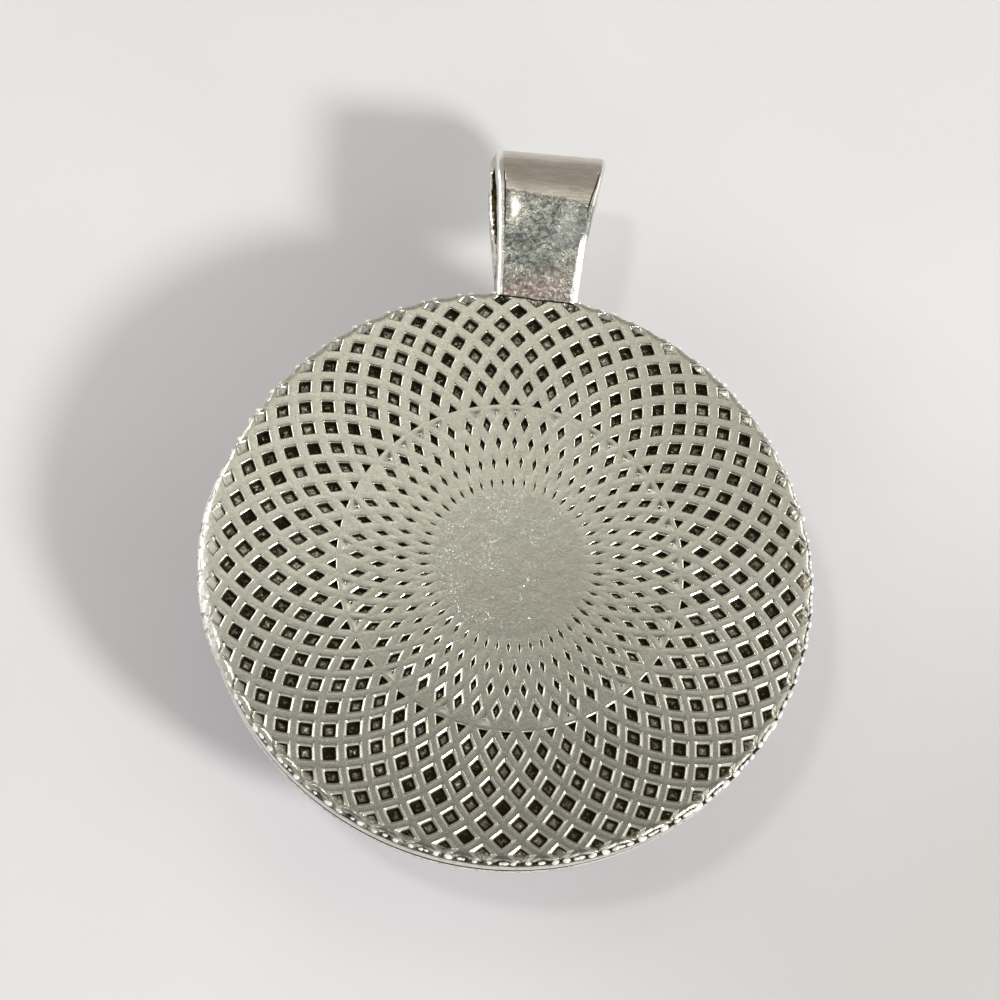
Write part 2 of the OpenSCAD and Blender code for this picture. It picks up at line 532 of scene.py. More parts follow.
def rim_rows(a):
    g = 0.60 + 0.40 * wave(a, 0) + 0.12 * math.sin(41 * a + PH[9])     # how open the groove is
    g = max(0.45, min(1.0, g))
    l = 0.5 + 0.5 * wave(a, 4)
    top = -1.13 + 0.03 * wave(a, 7)
    low = top - 0.27 - 0.06 * g
    k = flute(a)
    w = flare(a if a <= math.pi else a - 2 * math.pi)
    c = chamfer(a)
    k += c * (1 - k)
    # rows: (radius, height, dark, worn); the first two, just under the beads, are painted dark as painted shade below
    # the beads, less under the ridges' ends
    return [
        (13.905 + 0.080 * k + w + 0.215 * c, -0.42, (0.62 - 0.25 * k) * (1 - c), 0.5 * c),
        (13.915 + 0.05 * k + w + 0.165 * c, -0.53, (0.70 - 0.1 * k) * (1 - 0.7 * c), 0),
        (13.975 + 0.01 * k + 0.8 * w + 0.09 * c, -0.62, 0.20 + 0.2 * c, 0.4),
        (14.000 + 0.5 * w + 0.03 * c, -0.72, 0, 0.9), (14.0, top + 0.07, 0, 0.8),
        (13.985, top + 0.02, 0.1, 0.8), (13.985 - 0.07 * g, top - 0.005, 0.9, 0),
        (13.975 - 0.13 * g, top - 0.03, 1.0, 0), (13.97 - 0.15 * g, (top + low) / 2, 1.0, 0),
        (13.97 - 0.13 * g, low + 0.03, 1.0, 0), (13.975 - 0.06 * g, low + 0.005, 0.8, 0),
        (13.965 + 0.02 * l, low - 0.03, 0.05, 1.0), (13.99 + 0.02 * l, low - 0.09, 0, 0.9),
        (13.99 + 0.016 * l, -1.64, 0, 0.5), (13.96, -1.76, 0, 0.9), (13.88, -1.83, 0.5, 0),
        (13.74, -1.85, 0, 0.2), (13.2, -1.85, 0, 0), (12.76, -1.85, 0, 0.2),
        (12.64, -1.825, 0, 0.8), (12.57, -1.76, 0, 0.6), (12.55, -1.66, 0.2, 0), (12.55, -1.3, 0.5, 0),
        (12.55, -0.96, 1.0, 0), (12.49, -0.9, 1.0, 0),
    ]


prev = rim_loop
n = len(prev)
tables = [rim_rows(a) for a in rim_a]
for rrow in range(len(tables[0])):
    ring = []
    for i, a in enumerate(rim_a):
        r, z, dk, wn = tables[i][rrow]
        ring.append(net.add((r * math.cos(a), r * math.sin(a), z), dk, 0.2, wn))
        if -1.80 < z < -0.60:
            # the worn band of the rim wall is whitened too: partly wear, partly painted highlight
            net.frost_and_glint[-1] = 0.6 * wn
    strip(prev, ring)
    prev = ring
for r in (10.0, 7.0, 4.4, 2.4):
    half = prev[::2]
    ring = []
    for i in half:
        a = math.atan2(net.v[i][1], net.v[i][0])
        ring.append(net.add((r * math.cos(a), r * math.sin(a), -0.9), 0.3, 0.3))
    n, m = len(prev), len(ring)
    for i in range(m):
        p0, p1, p2 = prev[2 * i], prev[(2 * i + 1) % n], prev[(2 * i + 2) % n]
        r0, r1 = ring[i], ring[(i + 1) % m]
        net.f.append((p0, p1, r0))
        net.f.append((p1, p2, r1))
        net.f.append((p1, r1, r0))
    prev = ring
cap(prev, net.add((0, 0, -0.9), 0.3, 0.3))

# patina between the ridges' ends, mostly along the lower edge
for i, (vx, vy, vz) in enumerate(net.v):
    vr = math.hypot(vx, vy)
    if vz > -0.40 and vr > 13.70 and net.mid[i] == 0.0:
        va = math.atan2(vy, vx)
        low = max(0.0, -math.sin(va)) ** 0.7
        k = flute(va)
        e = min(1.0, (vr - 13.70) / 0.14)
        net.dark[i] = max(net.dark[i], e * (0.16 + 0.44 * low) * (1 - 0.45 * k))
        lit = max(0.0, math.cos(va + math.radians(42))) ** 0.5
        e2 = min(1.0, max(0.0, (vr - 13.81) / 0.10))
        net.dark[i] = max(net.dark[i], e2 * 0.82 * lit * (1 - 0.30 * k))
        net.worn[i] *= 1 - 0.9 * e * (1 - 0.6 * k) * (0.3 + 0.7 * low)
        c = chamfer(va)
        ec = min(1.0, max(0.0, (vr - 13.91) / 0.05)) * c
        net.dark[i] *= 1 - 0.95 * max(ec, 0.6 * e * c)
        net.worn[i] = max(net.worn[i], ec)
        # the chamfer is whitened: partly wear, partly painted highlight
        net.frost_and_glint[i] = 0.75 * ec

# small worn lumps at the ends of the ridges, all round the edge, whitened whole as painted highlights
blobs = Net()
br = random.Random(5)
for j in range(50):
    for side in (-1, 1):
        for extra in (0, 1):
            a = HALF * (2 * j + 1)
            up = math.sin(a)
            right = math.cos(a)
            if chamfer(a if a <= math.pi else a - 2 * math.pi) > 0.6:
                continue
            if extra and br.random() < 0.55 + 0.35 * up - 0.5 * max(0.0, right) - 0.4 * max(0.0, -right - 0.7) * 3:
                continue
            a += side * (END * 1.12 + extra * br.uniform(0.026, 0.036)) + br.gauss(0, 0.0022)
            big = br.uniform(0.78, 1.15) * (0.82 if extra else 1.0) * (1 - 0.22 * max(0.0, up))
            long = 1.0 + 0.55 * max(0.0, right) * max(0.0, -up) * 2
            la, lb, lc = 0.150 * big * br.uniform(0.85, 1.25) * long, 0.100 * big, 0.110 * big
            sunny = max(0.0, math.cos(a + math.radians(40))) ** 3
            lb, lc = lb * (1 + 0.30 * sunny), lc * (1 + 0.25 * sunny)
            w = flare(a if a <= math.pi else a - 2 * math.pi)
            r = 13.928 - (0.03 if extra else 0.0) + br.gauss(0, 0.010) + 0.85 * w
            z = -0.155 - (0.06 if extra else 0.0) + br.gauss(0, 0.022) + 0.25 * w
            turn = side * -0.30 + br.gauss(0, 0.2)
            e, t = (math.cos(a), math.sin(a)), (-math.sin(a), math.cos(a))
            bend = [br.uniform(0, 6.28) for _ in range(3)]
            loops = []
            for q in range(1, 6):
                v = math.pi * q / 6
                loop = []
                for i in range(10):
                    u = 2 * math.pi * i / 10
                    k = 1 + 0.09 * math.sin(2 * u + bend[0]) * math.sin(v) + 0.06 * math.sin(3 * v + bend[1])
                    p, h, o = math.cos(v) * la * k, math.sin(v) * math.cos(u) * lc * k, math.sin(v) * math.sin(u) * lb * k
                    p, h = p * math.cos(turn) - h * math.sin(turn), p * math.sin(turn) + h * math.cos(turn)
                    loop.append(blobs.add((r * e[0] + o * e[0] + p * t[0], r * e[1] + o * e[1] + p * t[1], z + h),
                                          0.0, 0.5, 1.0))
                loops.append(loop)
            for c0, c1 in zip(loops, loops[1:]):
                for i in range(10):
                    i2 = (i + 1) % 10
                    blobs.f.append((c0[i], c0[i2], c1[i2], c1[i]))
            for c0 in (loops[0], loops[-1]):
                mid_p = tuple(sum(blobs.v[i][q] for i in c0) / 10 for q in range(3))
                far_p = tuple(mid_p[q] + (mid_p[q] - blobs.v[loops[2][0]][q] * 0.5 - blobs.v[loops[2][5]][q] * 0.5) * 0.12 for q in range(3))
                ci = blobs.add(far_p, 0.0, 0.5, 1.0)
                for i in range(10):
                    i2 = (i + 1) % 10
                    blobs.f.append((c0[i], c0[i2], ci) if c0 is not loops[0] else (c0[i2], c0[i], ci))
beads = new_object("edge_beads", [row(p) for p in blobs.v], blobs.f)
for name, values in (("dark", blobs.dark), ("rand", blobs.rand), ("worn", blobs.worn), ("mid", blobs.mid),
                     ("frost_and_glint", [1.0] * len(blobs.v))):
    at = beads.data.attributes.new(name, "FLOAT", "POINT")
    at.data.foreach_set("value", values)
bm = bmesh.new()
bm.from_mesh(beads.data)
bmesh.ops.recalc_face_normals(bm, faces=bm.faces)
bm.to_mesh(beads.data)
print("beads: faces", len(bm.faces), "open", sum(1 for e in bm.edges if len(e.link_faces) != 2))
bm.free()

tray = new_object("tray", [row(p) for p in net.v], net.f)
for name, values in (("dark", net.dark), ("rand", net.rand), ("worn", net.worn), ("mid", net.mid), ("frost_and_glint", net.frost_and_glint)):
    at = tray.data.attributes.new(name, "FLOAT", "POINT")
    at.data.foreach_set("value", values)
bm = bmesh.new()
bm.from_mesh(tray.data)
bmesh.ops.recalc_face_normals(bm, faces=bm.faces)
bm.to_mesh(tray.data)
open_edges = sum(1 for e in bm.edges if len(e.link_faces) != 2)
print("tray: faces", len(bm.faces), "edges not shared by two faces", open_edges)
bm.free()

# ---------------------------------------------------------------- bail
STRAP = 0.85
FOLD_Y, FOLD_A, FOLD_B, FOLD_Z = 19.4, 3.2, 2.1, -1.9


def table(x, t):
    if x <= t[0][0]:
        return t[0][1]
    for (x0, y0), (x1, y1) in zip(t, t[1:]):
        if x <= x1:
            f = (x - x0) / (x1 - x0)
            return y0 + (y1 - y0) * f
    return t[-1][1]


LEFT = ((13.6, 1.98), (15.5, 2.10), (17, 2.22), (18.4, 2.35), (19.6, 2.48), (20.8, 2.62), (21.8, 2.70), (22.6, 2.73))
RIGHT = ((13.6, 2.00), (15.5, 2.06), (17, 2.16), (18.4, 2.30), (19.6, 2.47), (20.8, 2.65), (21.8, 2.77), (22.6, 2.82))
FRONT = ((14.5, 2.06), (15.0, 2.10), (15.9, 2.18), (16.7, 2.24), (17.6, 2.33), (18.5, 2.43), (19.4, 2.54), (21.2, 2.76), (22.2, 2.83), (22.6, 2.82))


def bail_path():
    """(y, z, left half width, right half width, part) round the strap.

    part is 0 on the back leg, up to 1 over the fold, and 2 on the front leg."""
    out = []
    y = 13.60
    while y < FOLD_Y - 1e-6:
        dip = max(0.0, (15.3 - y) / 1.7)
        out.append([y, 0.2 - 0.17 * dip ** 1.6, table(y, LEFT), table(y, RIGHT), 0.0])
        y += 0.055 if y < 13.74 else 0.1131
    n = 44
    for i in range(n + 1):
        a = math.pi * i / n
        yy = FOLD_Y + FOLD_A * math.sin(a)
        zz = FOLD_Z + FOLD_B * math.cos(a)
        f = min(1.0, max(0.0, (i - 0.42 * n) / (0.16 * n)))
        f = f * f * (3 - 2 * f)
        wl = table(yy, LEFT) * (1 - f) + (table(yy, FRONT) + 0.03) * f
        wr = table(yy, RIGHT) * (1 - f) + (table(yy, FRONT) - 0.05) * f
        out.append([yy, zz, wl, wr, max(0.01, i / n)])
    for i in range(1, 27):
        s = i / 26 * 0.985
        yy = FOLD_Y - 4.4 * s
        zz = -4.0 + 2.4 * (1 - math.cos(s * math.pi / 2))
        out.append([yy, zz, table(yy, FRONT) + 0.03, table(yy, FRONT) - 0.05, 2.0])
    return out


path = bail_path()
# Cross-section of the strap near an edge: (distance in from the edge, depth
# below the face, dark, worn), rolled over with a crease inside, or bevelled.
ROLLED = [
    (0.00, 0.36, 0.1, 0.4), (0.012, 0.26, 0.0, 0.8), (0.045, 0.165, 0.0, 1.0), (0.105, 0.090, 0.0, 1.0),
    (0.185, 0.040, 0.0, 1.0), (0.275, 0.016, 0.0, 0.9), (0.345, 0.016, 0.0, 0.6), (0.376, 0.042, 0.7, 0.0),
    (0.400, 0.062, 1.0, 0.0), (0.424, 0.040, 0.7, 0.0), (0.450, 0.006, 0.1, 0.0), (0.52, 0.000, 0.0, 0.0),
]
BEVEL = [
    (0.00, 0.36, 0.3, 0.4), (0.014, 0.29, 0.0, 1.0), (0.055, 0.235, 0.0, 1.0), (0.115, 0.185, 0.0, 1.0),
    (0.185, 0.130, 0.0, 1.0), (0.255, 0.080, 0.0, 1.0), (0.320, 0.038, 0.0, 1.0), (0.365, 0.014, 0.0, 0.8),
    (0.395, 0.005, 0.0, 0.4), (0.425, 0.001, 0.0, 0.0), (0.455, 0.000, 0.0, 0.0), (0.52, 0.000, 0.0, 0.0),
]
CREASE_L = ((13.6, 0.34), (17.3, 0.34), (20.6, 0.38), (22.0, 0.40))
CREASE_R = ((13.6, 0.43), (17.0, 0.37), (19.5, 0.28), (20.7, 0.20), (22.0, 0.22))
OPEN_L = ((13.6, 0.0), (16.4, 0.12), (17.2, 0.35), (17.7, 0.9), (18.6, 1.0), (20.0, 1.0), (20.6, 0.35), (20.9, 0.0))
OPEN_R = ((13.6, 0.0), (18.5, 0.0), (18.9, 1.0), (20.6, 1.3), (21.1, 0.3), (21.4, 0.0))
# how worn and pale the right edge is along the strap: partly wear, partly painted highlight low down, less where no
# highlight falls
WEAR_AND_SHEEN_R = ((13.6, 1.0), (16.9, 1.0), (17.8, 0.15), (18.8, 0.15), (19.8, 0.6), (22.6, 0.7))
BEVEL_R = ((13.6, 1.0), (16.9, 1.0), (17.7, 0.35), (18.5, 0.0))
FACE = [i / 22 for i in range(1, 22)]

bverts, bfaces = [], []
bdark, bworn, bzone, bsmooth = [], [], [], []
pr = random.Random(21)
EP = [pr.uniform(0, 6.28) for _ in range(12)]


def edge_points(crease, gap, bevel):
    out = []
    for (e0, d0, k0, w0), (e1, d1, k1, w1) in zip(ROLLED, BEVEL):
        if 0.34 < e0 < 0.46:
            d0 = 0.012 + (d0 - 0.012) * gap
            k0 = k0 * min(1.0, gap * 1.3)
        e = e0 * (1 - bevel) + e1 * bevel
        d = d0 * (1 - bevel) + d1 * bevel
        if e < 0.5:
            e *= crease / 0.40
        out.append((e, d, k0 * (1 - bevel) + k1 * bevel, w0 * (1 - bevel) + w1 * bevel))
    return out


def hump(x, y, cx, cy, sx, sy):
    return math.exp(-((x - cx) / sx) ** 2 - ((y - cy) / sy) ** 2)


rings = []
for i, (y, z, wl, wr, part) in enumerate(path):
    a = path[max(i - 1, 0)]
    b = path[min(i + 1, len(path) - 1)]
    ty, tz = b[0] - a[0], b[1] - a[1]
    ln = math.hypot(ty, tz)
    ty, tz = ty / ln, tz / ln
    ny, nz = -tz, ty          # outward, up on the back leg
    if part < 0.6:
        wl += 0.008 * math.sin(y * 3.1 + EP[0]) + 0.006 * math.sin(y * 7.3 + EP[1])
        wr += 0.008 * math.sin(y * 2.7 + EP[2]) + 0.006 * math.sin(y * 6.8 + EP[3])
        gap_l, gap_r, bev_r = table(y, OPEN_L), table(y, OPEN_R), table(y, BEVEL_R)
    else:
        gap_l = gap_r = bev_r = 0.0
    if 0.35 < part < 0.6:
        gap_l = gap_r = 0.0
    prof = []
    left = edge_points(table(y, CREASE_L), gap_l, 0.0)
    right = edge_points(table(y, CREASE_R), gap_r, bev_r)
    # the strap's end at the rim is painted dark: painted shade in the gap under the foot
    foot = 1.0 if i == 0 else (0.45 if i == 1 else 0.0)
    for e, d, dk, wn in left:
        prof.append((-wl + e, d, max(dk, foot), wn * (1 - foot), 0))
    xl, xr = -wl + 0.52, wr - 0.52
    for f in FACE:
        prof.append((xl + (xr - xl) * f, 0.0, foot, 0.0, 1))
    for e, d, dk, wn in reversed(right):
        prof.append((wr - e, d, max(dk, foot), wn * (1 - foot) * table(y, WEAR_AND_SHEEN_R), 0))
    # inner side, from right to left: a worn, knobby edge and a dark inside, patina and painted shade between the legs
    knob = 1.0 if part > 0.3 else 0.0
    for sgn, w in ((1, wr), (-1, wl)):
        pts = [(0.0, STRAP - 0.22, 0.1, 1.0), (0.02, STRAP - 0.11, 0.0, 1.0), (0.09, STRAP - 0.04, 0.05, 0.9),
               (0.16, STRAP, 0.70, 0.2), (0.30, STRAP, 1.0, 0.0)]
        if sgn < 0:
            pts = list(reversed(pts))
            for f in (0.25, 0.5, 0.75):
                prof.append((wr - 0.3 - (wl + wr - 0.6) * f, STRAP, 1.0, 0.0, 0))
        for e, d, dk, wn in pts:
            j = knob * (pr.gauss(0, 0.020) if e < 0.1 else 0.0)
            k = knob * (pr.uniform(-0.7, 0.25) if 0.05 < e < 0.2 else 0.0)
            prof.append((sgn * (w - e + j), d + j * 0.6, min(1.0, max(0.0, dk + k)), wn, 0))
    ring = []
    skew = 0.042 * min(1.0, max(0.0, (y - 18.6) / 3.2)) if y > 18.6 else 0.0
    for x, d, dk, wn, on_face in prof:
        lift = 0.0
        smooth = 0.0
        if part < 0.3 and on_face:
            # the face is a touch uneven, with two polished swellings
            g1 = hump(x, y, -1.56, 18.62, 1.05, 1.75)
            g2 = hump(x, y, -0.55, 18.75, 0.16, 0.16)
            lift = 0.022 * g1 + 0.008 * g2
            smooth = min(1.0, 1.8 * hump(x, y, -1.72, 18.34, 0.46, 0.72) + g2)
            lift += 0.010 * math.sin(x * 2.1 + EP[4]) * math.sin(y * 1.7 + EP[5]) * min(1.0, (wr - abs(x)) * 2)
        py = y + ny * (lift - d) + skew * x
        pz = z + nz * (lift - d)
        if y < 14.4 and part == 0.0 and d < 0.3:
            # a small lump where the strap was joined to the rim
            bump = 0.085 * hump(x, y, 0.05, 13.72, 0.30, 0.22)
            py -= bump * 0.9
            pz += bump * 0.3
        ring.append(len(bverts))
        bverts.append((x, py, pz))
        bdark.append(dk)
        bworn.append(wn)
        bzone.append(1.0 if part > 0.3 else 0.0)
        bsmooth.append(smooth)
    rings.append(ring)
m = len(rings[0])
for a, b in zip(rings, rings[1:]):
    for i in range(m):
        j = (i + 1) % m
        bfaces.append((a[i], a[j], b[j], b[i]))
for ring, flip in ((rings[0], False), (rings[-1], True)):
    c = [sum(bverts[i][q] for i in ring) / m for q in range(3)]
    ci = len(bverts)
    bverts.append(tuple(c))
    bdark.append(1.0)
    bworn.append(0.0)
    bzone.append(0.0)
    bsmooth.append(0.0)
    for i in range(m):
        j = (i + 1) % m
        bfaces.append((ring[j], ring[i], ci) if not flip else (ring[i], ring[j], ci))


def close_mesh(ob):
    bm = bmesh.new()
    bm.from_mesh(ob.data)
    bmesh.ops.recalc_face_normals(bm, faces=bm.faces)
    bad = sum(1 for e in bm.edges if len(e.link_faces) != 2)
    bm.to_mesh(ob.data)
    bm.free()
    return bad


strap = new_object("bail", [row(p) for p in bverts], bfaces)
for name, values in (("dark", bdark), ("worn", bworn), ("zone", bzone), ("smooth", bsmooth)):
    at = strap.data.attributes.new(name, "FLOAT", "POINT")
    at.data.foreach_set("value", values)
print("bail: open edges", close_mesh(strap))

# the neck that joins both legs to the rim
neck_side = [(13.55, -0.32), (14.6, -0.32), (15.6, -0.34), (16.0, -0.42), (16.10, -0.62), (16.12, -0.80),
             (16.05, -1.00), (15.85, -1.22), (15.62, -1.55), (15.30, -1.70), (14.95, -1.66), (14.4, -1.63),
             (13.9, -1.62), (13.55, -1.60)]
nverts, nfaces, nloops = [], [], []
for e, grow in ((-1.0, -0.10), (-0.965, -0.03), (-0.90, 0.0), (-0.45, 0.0), (0.0, 0.0), (0.45, 0.0),
                (0.90, 0.0), (0.965, -0.03), (1.0, -0.10)):
    loop = []
    cy = sum(p[0] for p in neck_side) / len(neck_side)
    cz = sum(p[1] for p in neck_side) / len(neck_side)
    for y, z in neck_side:
        w = 1.90 + 0.07 * (y - 13.6) + 0.05 * max(0, -z - 0.3)
        d = math.hypot(y - cy, z - cz)
        loop.append(len(nverts))
        nverts.append((e * w, y + (y - cy) / d * grow, z + (z - cz) / d * grow))
    nloops.append(loop)
m = len(neck_side)
for a, b in zip(nloops, nloops[1:]):
    for i in range(m):
        j = (i + 1) % m
        nfaces.append((a[i], b[i], b[j], a[j]))
nfaces.append(tuple(nloops[0]))
nfaces.append(tuple(reversed(nloops[-1])))
neck = new_object("neck_tool", [row(p) for p in nverts], nfaces)
for name, value in (("dark", 0.9), ("worn", 0.0), ("zone", 1.0), ("smooth", 0.0)):
    at = neck.data.attributes.new(name, "FLOAT", "POINT")
    at.data.foreach_set("value", [value] * len(nverts))
print("neck: open edges", close_mesh(neck))
mod = strap.modifiers.new("join", "BOOLEAN")
mod.operation = "UNION"
mod.solver = "EXACT"
mod.object = neck
dg = bpy.context.evaluated_depsgraph_get()
joined = bpy.data.meshes.new_from_object(strap.evaluated_get(dg))
strap.modifiers.clear()
strap.data = joined
joined.name = "bail"
bpy.data.objects.remove(neck)
bm = bmesh.new()
bm.from_mesh(joined)
bmesh.ops.remove_doubles(bm, verts=bm.verts, dist=1e-7)
print("bail joined: faces", len(bm.faces), "open", sum(1 for e in bm.edges if len(e.link_faces) != 2))
bm.to_mesh(joined)
bm.free()
joined.polygons.foreach_set("use_smooth", [True] * len(joined.polygons))
joined.set_sharp_from_angle(angle=math.radians(50))

# ---------------------------------------------------------------- cabochon
cverts, cfaces = [], []
APEX, CROWN_R, FLAT_R, EDGE_R = -6.95, 42.0, 2.9, 8.0
fs, cs = math.asin(FLAT_R / CROWN_R), math.asin(EDGE_R / CROWN_R)
sag = CROWN_R * (math.cos(fs) - math.cos(cs))
dr, dz = 12.5 - EDGE_R, 5.0 - sag
end = 2 * math.atan(dz / dr) - cs
sh_r = dr / (math.sin(end) - math.sin(cs))
profile = [(1.2, APEX), (2.2, APEX), (2.75, APEX), (2.9, APEX)]
for i in range(1, 15):
    a = fs + (cs - fs) * i / 14
    profile.append((CROWN_R * math.sin(a), APEX + CROWN_R * (math.cos(fs) - math.cos(a))))
for i in range(1, 25):
    a = cs + (end - cs) * i / 24
    profile.append((EDGE_R + sh_r * (math.sin(a) - math.sin(cs)), APEX + sag + sh_r * (math.cos(cs) - math.cos(a))))
top = APEX + 6.0
profile += [(12.5, top - 0.85), (12.5, top - 0.55), (12.5, top - 0.25), (12.495, top - 0.10),
            (12.46, top - 0.03), (12.39, top), (12.2, top), (9.0, top), (5.0, top), (2.0, top)]
SEG = 160
for r, z in profile:
    for i in range(SEG):
        a = 2 * math.pi * i / SEG
        cverts.append((r * math.cos(a), r * math.sin(a), z))
for q in range(len(profile) - 1):
    for i in range(SEG):
        j = (i + 1) % SEG
        cfaces.append((q * SEG + i, q * SEG + j, (q + 1) * SEG + j, (q + 1) * SEG + i))
lo_c, hi_c = len(cverts), len(cverts) + 1
cverts += [(0, 0, APEX), (0, 0, top)]
for i in range(SEG):
    j = (i + 1) % SEG
    cfaces.append((j, i, lo_c))
    q = (len(profile) - 1) * SEG
    cfaces.append((q + i, q + j, hi_c))
dome = new_object("glass_dome", [row(p) for p in cverts], cfaces)
print("dome: open edges", close_mesh(dome))
dome.data.set_sharp_from_angle(angle=math.radians(40))


# ---------------------------------------------------------------- materials
class Tree:
    """Short names for building a node tree."""

    def __init__(self, name):
        self.mat = bpy.data.materials.new(name)
        self.mat.use_nodes = True
        self.nt = self.mat.node_tree
        self.nt.nodes.clear()
        self.out = self.nt.nodes.new("ShaderNodeOutputMaterial")
        self.bsdf = self.nt.nodes.new("ShaderNodeBsdfPrincipled")
        self.nt.links.new(self.bsdf.outputs[0], self.out.inputs[0])
        tc = self.nt.nodes.new("ShaderNodeTexCoord")
        mp = self.nt.nodes.new("ShaderNodeMapping")
        mp.inputs["Scale"].default_value = (1000, 1000, 1000)      # to mm
        self.link(tc.outputs["Object"], mp.inputs["Vector"])
        self.mm = mp.outputs[0]

    def link(self, a, b):
        self.nt.links.new(a, b)

    def put(self, socket, value):
        if isinstance(value, bpy.types.NodeSocket):
            self.link(value, socket)
        else:
            socket.default_value = value

    def attr(self, name):
        n = self.nt.nodes.new("ShaderNodeAttribute")
        n.attribute_name = name
        return n.outputs["Fac"]

    def noise(self, scale, detail=3.0, rough=0.55, vec=None, dist=0.0):
        n = self.nt.nodes.new("ShaderNodeTexNoise")
        n.inputs["Scale"].default_value = scale
        n.inputs["Detail"].default_value = detail
        n.inputs["Roughness"].default_value = rough
        n.inputs["Distortion"].default_value = dist
        self.link(vec or self.mm, n.inputs["Vector"])
        return n.outputs["Fac"]

    def voronoi(self, scale, feature="F1", out="Distance", vec=None, rnd=1.0):
        n = self.nt.nodes.new("ShaderNodeTexVoronoi")
        n.feature = feature
        n.inputs["Scale"].default_value = scale
        n.inputs["Randomness"].default_value = rnd
        self.link(vec or self.mm, n.inputs["Vector"])
        return n.outputs[out]

    def math(self, op, a, b=0.0, c=0.0, clamp=False):
        n = self.nt.nodes.new("ShaderNodeMath")
        n.operation = op
        n.use_clamp = clamp
        self.put(n.inputs[0], a)
        self.put(n.inputs[1], b)
        if len(n.inputs) > 2:
            self.put(n.inputs[2], c)
        return n.outputs[0]

    def ramp(self, x, lo, hi, a=0.0, b=1.0, smooth=True):
        n = self.nt.nodes.new("ShaderNodeMapRange")
        n.interpolation_type = "SMOOTHSTEP" if smooth else "LINEAR"
        n.clamp = True
        self.put(n.inputs[0], x)
        n.inputs[1].default_value = lo
        n.inputs[2].default_value = hi
        n.inputs[3].default_value = a
        n.inputs[4].default_value = b
        return n.outputs[0]

    def mix(self, f, a, b):
        n = self.nt.nodes.new("ShaderNodeMix")
        n.data_type = "RGBA"
        self.put(n.inputs[0], f)
        for s, v in ((n.inputs[6], a), (n.inputs[7], b)):
            if isinstance(v, bpy.types.NodeSocket):
                self.link(v, s)
            else:
                s.default_value = (*v, 1.0)
        return n.outputs[2]

    def mixf(self, f, a, b):
        n = self.nt.nodes.new("ShaderNodeMix")
        n.data_type = "FLOAT"
        self.put(n.inputs[0], f)
        self.put(n.inputs[2], a)
        self.put(n.inputs[3], b)
        return n.outputs[0]

    def bump(self, height, strength, distance, normal=None):
        n = self.nt.nodes.new("ShaderNodeBump")
        n.inputs["Strength"].default_value = strength
        n.inputs["Distance"].default_value = distance
        self.link(height, n.inputs["Height"])
        if normal is not None:
            self.link(normal, n.inputs["Normal"])
        return n.outputs[0]

    def xyz(self):
        n = self.nt.nodes.new("ShaderNodeSeparateXYZ")
        self.link(self.mm, n.inputs[0])
        return n.outputs


def silver(name, light, painted_shade):
    t = Tree(name)
    grain = t.noise(14.0, 3.0, 0.6)
    fine = t.noise(38.0, 2.0, 0.6)
    blot = t.noise(0.55, 3.0, 0.6)
    dark = t.math("ADD", t.attr("dark"), t.math("MULTIPLY", t.math("SUBTRACT", grain, 0.5), 0.5))
    dirt = t.ramp(dark, 0.30, 0.62)
    return t, grain, fine, blot, dirt


t, grain, fine, blot, dirt = silver("antique_silver_relief", (0, 0, 0), (0, 0, 0))
tint = t.noise(0.33, 3.0, 0.6)
cloud = t.noise(1.7, 4.0, 0.65)
sand = t.noise(9.0, 3.0, 0.75)
metal = t.mix(t.ramp(tint, 0.36, 0.64), (0.664, 0.650, 0.542), (0.708, 0.680, 0.575))
metal = t.mix(t.ramp(cloud, 0.30, 0.70, 0.0, 0.30), metal, (0.560, 0.555, 0.480))
px, py, pz = t.xyz()
far = t.math("SQRT", t.math("ADD", t.math("MULTIPLY", px, px), t.math("POWER", t.math("ADD", py, 4.3), 2.0)))
# painted shade: darker at the top and bottom; painted sheen: a little brighter at both sides
painted_shade = t.ramp(t.math("ABSOLUTE", t.math("ADD", py, 4.3)), 1.5, 9.0, 0.0, 0.75)
metal = t.mix(painted_shade, metal, (0.545, 0.532, 0.446))
sides = t.math("MULTIPLY", t.ramp(t.math("ABSOLUTE", px), 4.0, 11.0, 0.0, 0.60), t.math("SUBTRACT", 1.0, t.math("MULTIPLY", painted_shade, 1.3), clamp=True))
metal = t.mix(sides, metal, (0.775, 0.757, 0.645))
flat = t.ramp(far, 3.3, 3.9, 1.0, 0.0)
patch = t.mix(t.ramp(t.noise(0.45, 3.0, 0.6), 0.42, 0.58), (0.545, 0.503, 0.436), (0.500, 0.508, 0.432))
metal = t.mix(t.math("MULTIPLY", flat, 0.60), metal, patch)
# painted glints: bright specks in clumps, leaning towards the upper left where the sheen falls; the specks also feed
# the bump
lean = t.math("SUBTRACT", t.math("MULTIPLY", t.math("ADD", py, 4.3), 0.016), t.math("MULTIPLY", px, 0.030))
clump = t.ramp(t.math("ADD", t.noise(0.9, 4.0, 0.7), lean), 0.46, 0.60)
metal = t.mix(t.ramp(sand, 0.34, 0.48, 0.42, 0.0), metal, (0.400, 0.388, 0.315))
spark = t.math("MULTIPLY", t.ramp(t.noise(8.6, 2.0, 0.6), 0.57, 0.66), t.math("MULTIPLY", clump, t.mixf(flat, 0.10, 1.0)))
metal = t.mix(t.ramp(sand, 0.55, 0.66, 0.0, 0.45), metal, (0.960, 0.935, 0.860))
metal = t.mix(t.math("MULTIPLY", spark, 0.60), metal, (0.980, 0.960, 0.900))
metal = t.mix(t.ramp(t.attr("worn"), 0.20, 1.0, 0.0, 0.90), metal, (0.900, 0.870, 0.780))
